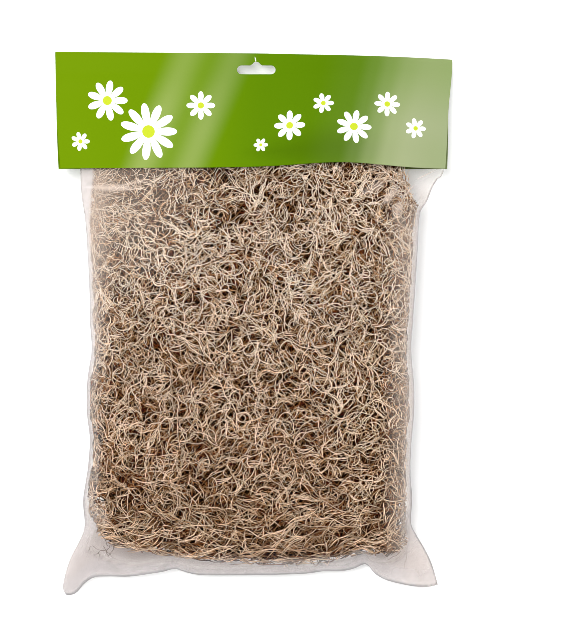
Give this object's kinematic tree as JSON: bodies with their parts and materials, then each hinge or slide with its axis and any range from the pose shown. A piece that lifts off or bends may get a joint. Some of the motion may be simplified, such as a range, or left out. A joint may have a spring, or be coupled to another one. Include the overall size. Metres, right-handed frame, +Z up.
{
  "type": "bagged moss bunch",
  "caption": "Tangled bunch of dried tan moss strands in a clear film bag lying flat, closed by a folded green header card with a hang slot.",
  "frame": {"origin": "on the surface that the bag lies on, under the middle of its outline", "axes": "+Y along the bag towards the fold of the card, +Z up out of the bag's front, +X to the right of the front"},
  "size_m": [0.33, 0.45, 0.0743],
  "materials": {
    "card": "glossy printed green, one side",
    "film": "clear thin film, creased",
    "moss": "dry grey-brown plant fibre"
  },
  "bodies": {
    "root": {"header_card": "card", "film_bag": "film", "moss_bunch": "moss"}
  },
  "joints": []
}
